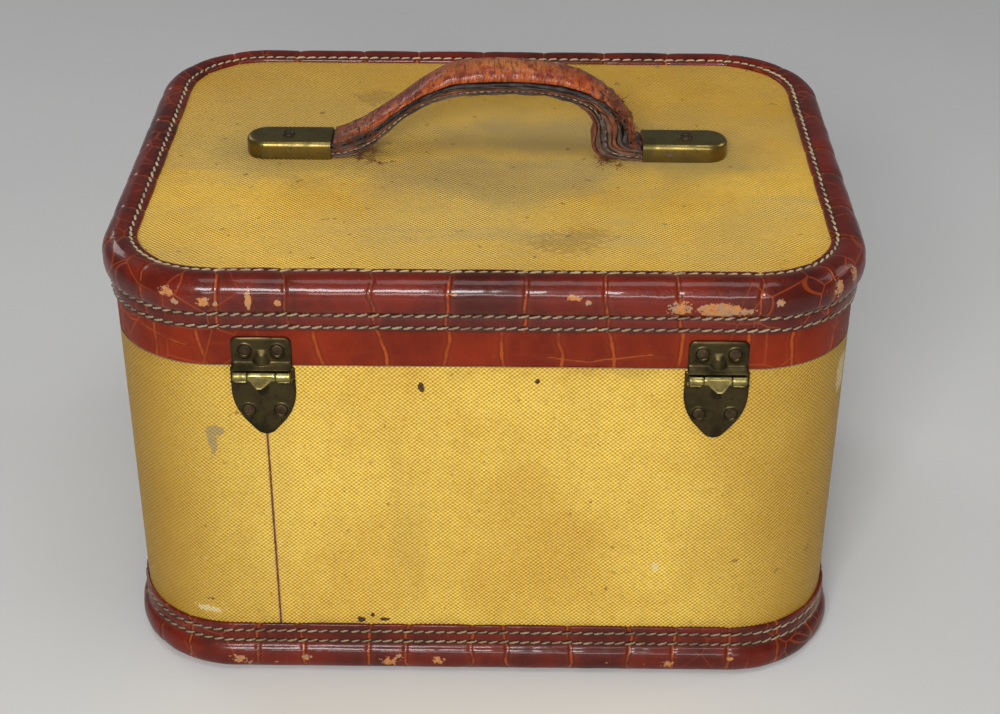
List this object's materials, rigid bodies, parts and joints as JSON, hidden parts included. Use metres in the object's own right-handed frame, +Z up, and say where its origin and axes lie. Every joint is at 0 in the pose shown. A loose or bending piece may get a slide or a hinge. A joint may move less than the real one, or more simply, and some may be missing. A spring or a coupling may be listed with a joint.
{
  "type": "makeup train case",
  "caption": "Cloth covered wooden train case with leather binding, a hinged lid with a strap handle and mirror, hasp latches and a lift-out tray.",
  "frame": {"origin": "middle of the flat underside of the case", "axes": "+X to the right seen from the latch side, +Y towards the hinges, +Z up"},
  "size_m": [0.339, 0.2775, 0.256],
  "materials": {
    "case_wood": "sanded plywood",
    "case_cloth": "coarse woven canvas, lacquered",
    "top_cloth": "coarse woven canvas, faded",
    "binding_leather": "glossy embossed leather",
    "band_leather": "satin embossed leather",
    "lining_fabric": "ribbed lining",
    "tray_card": "cloth covered board",
    "tab_leather": "smooth leather",
    "mirror_frame_brass": "satin",
    "mirror_backing_card": "matt card",
    "mirror_glass": "polished",
    "cap_brass": "polished, tarnished",
    "strap_leather": "worn, layered",
    "crown_leather": "polished, cracked",
    "fitting_brass": "antique, tarnished",
    "rivet_brass": "worn, tarnished"
  },
  "bodies": {
    "case": {"body_cloth": "case_cloth", "body_lining": "lining_fabric", "body_wall": "case_wood", "bottom_binding": "binding_leather", "bottom_board": "case_wood", "bottom_cloth": "case_cloth", "bottom_pad": "lining_fabric", "hinge_left_body_leaf": "fitting_brass", "hinge_left_body_rivets": "rivet_brass", "hinge_left_pin": "fitting_brass", "hinge_right_body_leaf": "fitting_brass", "hinge_right_body_rivets": "rivet_brass", "hinge_right_pin": "fitting_brass", "latch_left_case": "fitting_brass", "latch_left_plate": "fitting_brass", "latch_left_plate_rivets": "rivet_brass", "latch_right_case": "fitting_brass", "latch_right_plate": "fitting_brass", "latch_right_plate_rivets": "rivet_brass", "rim_lip": "case_wood", "tray_ledge_left": "lining_fabric", "tray_ledge_right": "lining_fabric"},
    "lid": {"lid_wall": "case_wood", "lid_board": "case_wood", "lid_band": "band_leather", "lid_cloth": "top_cloth", "lid_binding": "binding_leather", "lid_lining": "lining_fabric", "mirror_frame": "mirror_frame_brass", "mirror_glass": "mirror_glass", "mirror_backing": "mirror_backing_card", "handle_strap": "strap_leather", "handle_core": "strap_leather", "handle_crown": "crown_leather", "handle_cap_left": "cap_brass", "handle_cap_right": "cap_brass", "handle_rivets": "rivet_brass", "hinge_left_lid_leaf": "fitting_brass", "hinge_left_lid_rivets": "rivet_brass", "latch_left_lid_leaf": "fitting_brass", "latch_left_pin": "fitting_brass", "latch_left_lid_rivets": "rivet_brass", "hinge_right_lid_leaf": "fitting_brass", "hinge_right_lid_rivets": "rivet_brass", "latch_right_lid_leaf": "fitting_brass", "latch_right_pin": "fitting_brass", "latch_right_lid_rivets": "rivet_brass"},
    "tray": {"tray_box": "tray_card", "tray_divider_back": "tray_card", "tray_divider_left": "tray_card", "tray_divider_long": "tray_card", "tray_divider_right": "tray_card", "tray_tabs": "tab_leather"},
    "hasp_left": {"latch_left_hasp": "fitting_brass", "latch_left_lug": "fitting_brass"},
    "bolt_left": {"latch_left_bolt": "fitting_brass"},
    "hasp_right": {"latch_right_hasp": "fitting_brass", "latch_right_lug": "fitting_brass"},
    "bolt_right": {"latch_right_bolt": "fitting_brass"}
  },
  "joints": [
    {"name": "lid_hinge", "type": "hinge", "parent": "case", "child": "lid", "pos_m": [0, 0.131, 0.165], "axis": [-1, 0, 0], "range_deg": [0, 100]},
    {"name": "tray_lift", "type": "slide", "parent": "case", "child": "tray", "axis": [0, 0, 1], "range_m": [0, 0.024]},
    {"name": "hasp_left_swing", "type": "hinge", "parent": "lid", "child": "hasp_left", "pos_m": [-0.098, -0.134, 0.1718], "axis": [-1, 0, 0], "range_deg": [0, 140]},
    {"name": "bolt_left_slide", "type": "slide", "parent": "case", "child": "bolt_left", "axis": [1, 0, 0], "range_m": [0, 0.006]},
    {"name": "hasp_right_swing", "type": "hinge", "parent": "lid", "child": "hasp_right", "pos_m": [0.098, -0.134, 0.1718], "axis": [-1, 0, 0], "range_deg": [0, 140]},
    {"name": "bolt_right_slide", "type": "slide", "parent": "case", "child": "bolt_right", "axis": [1, 0, 0], "range_m": [0, 0.006]}
  ]
}
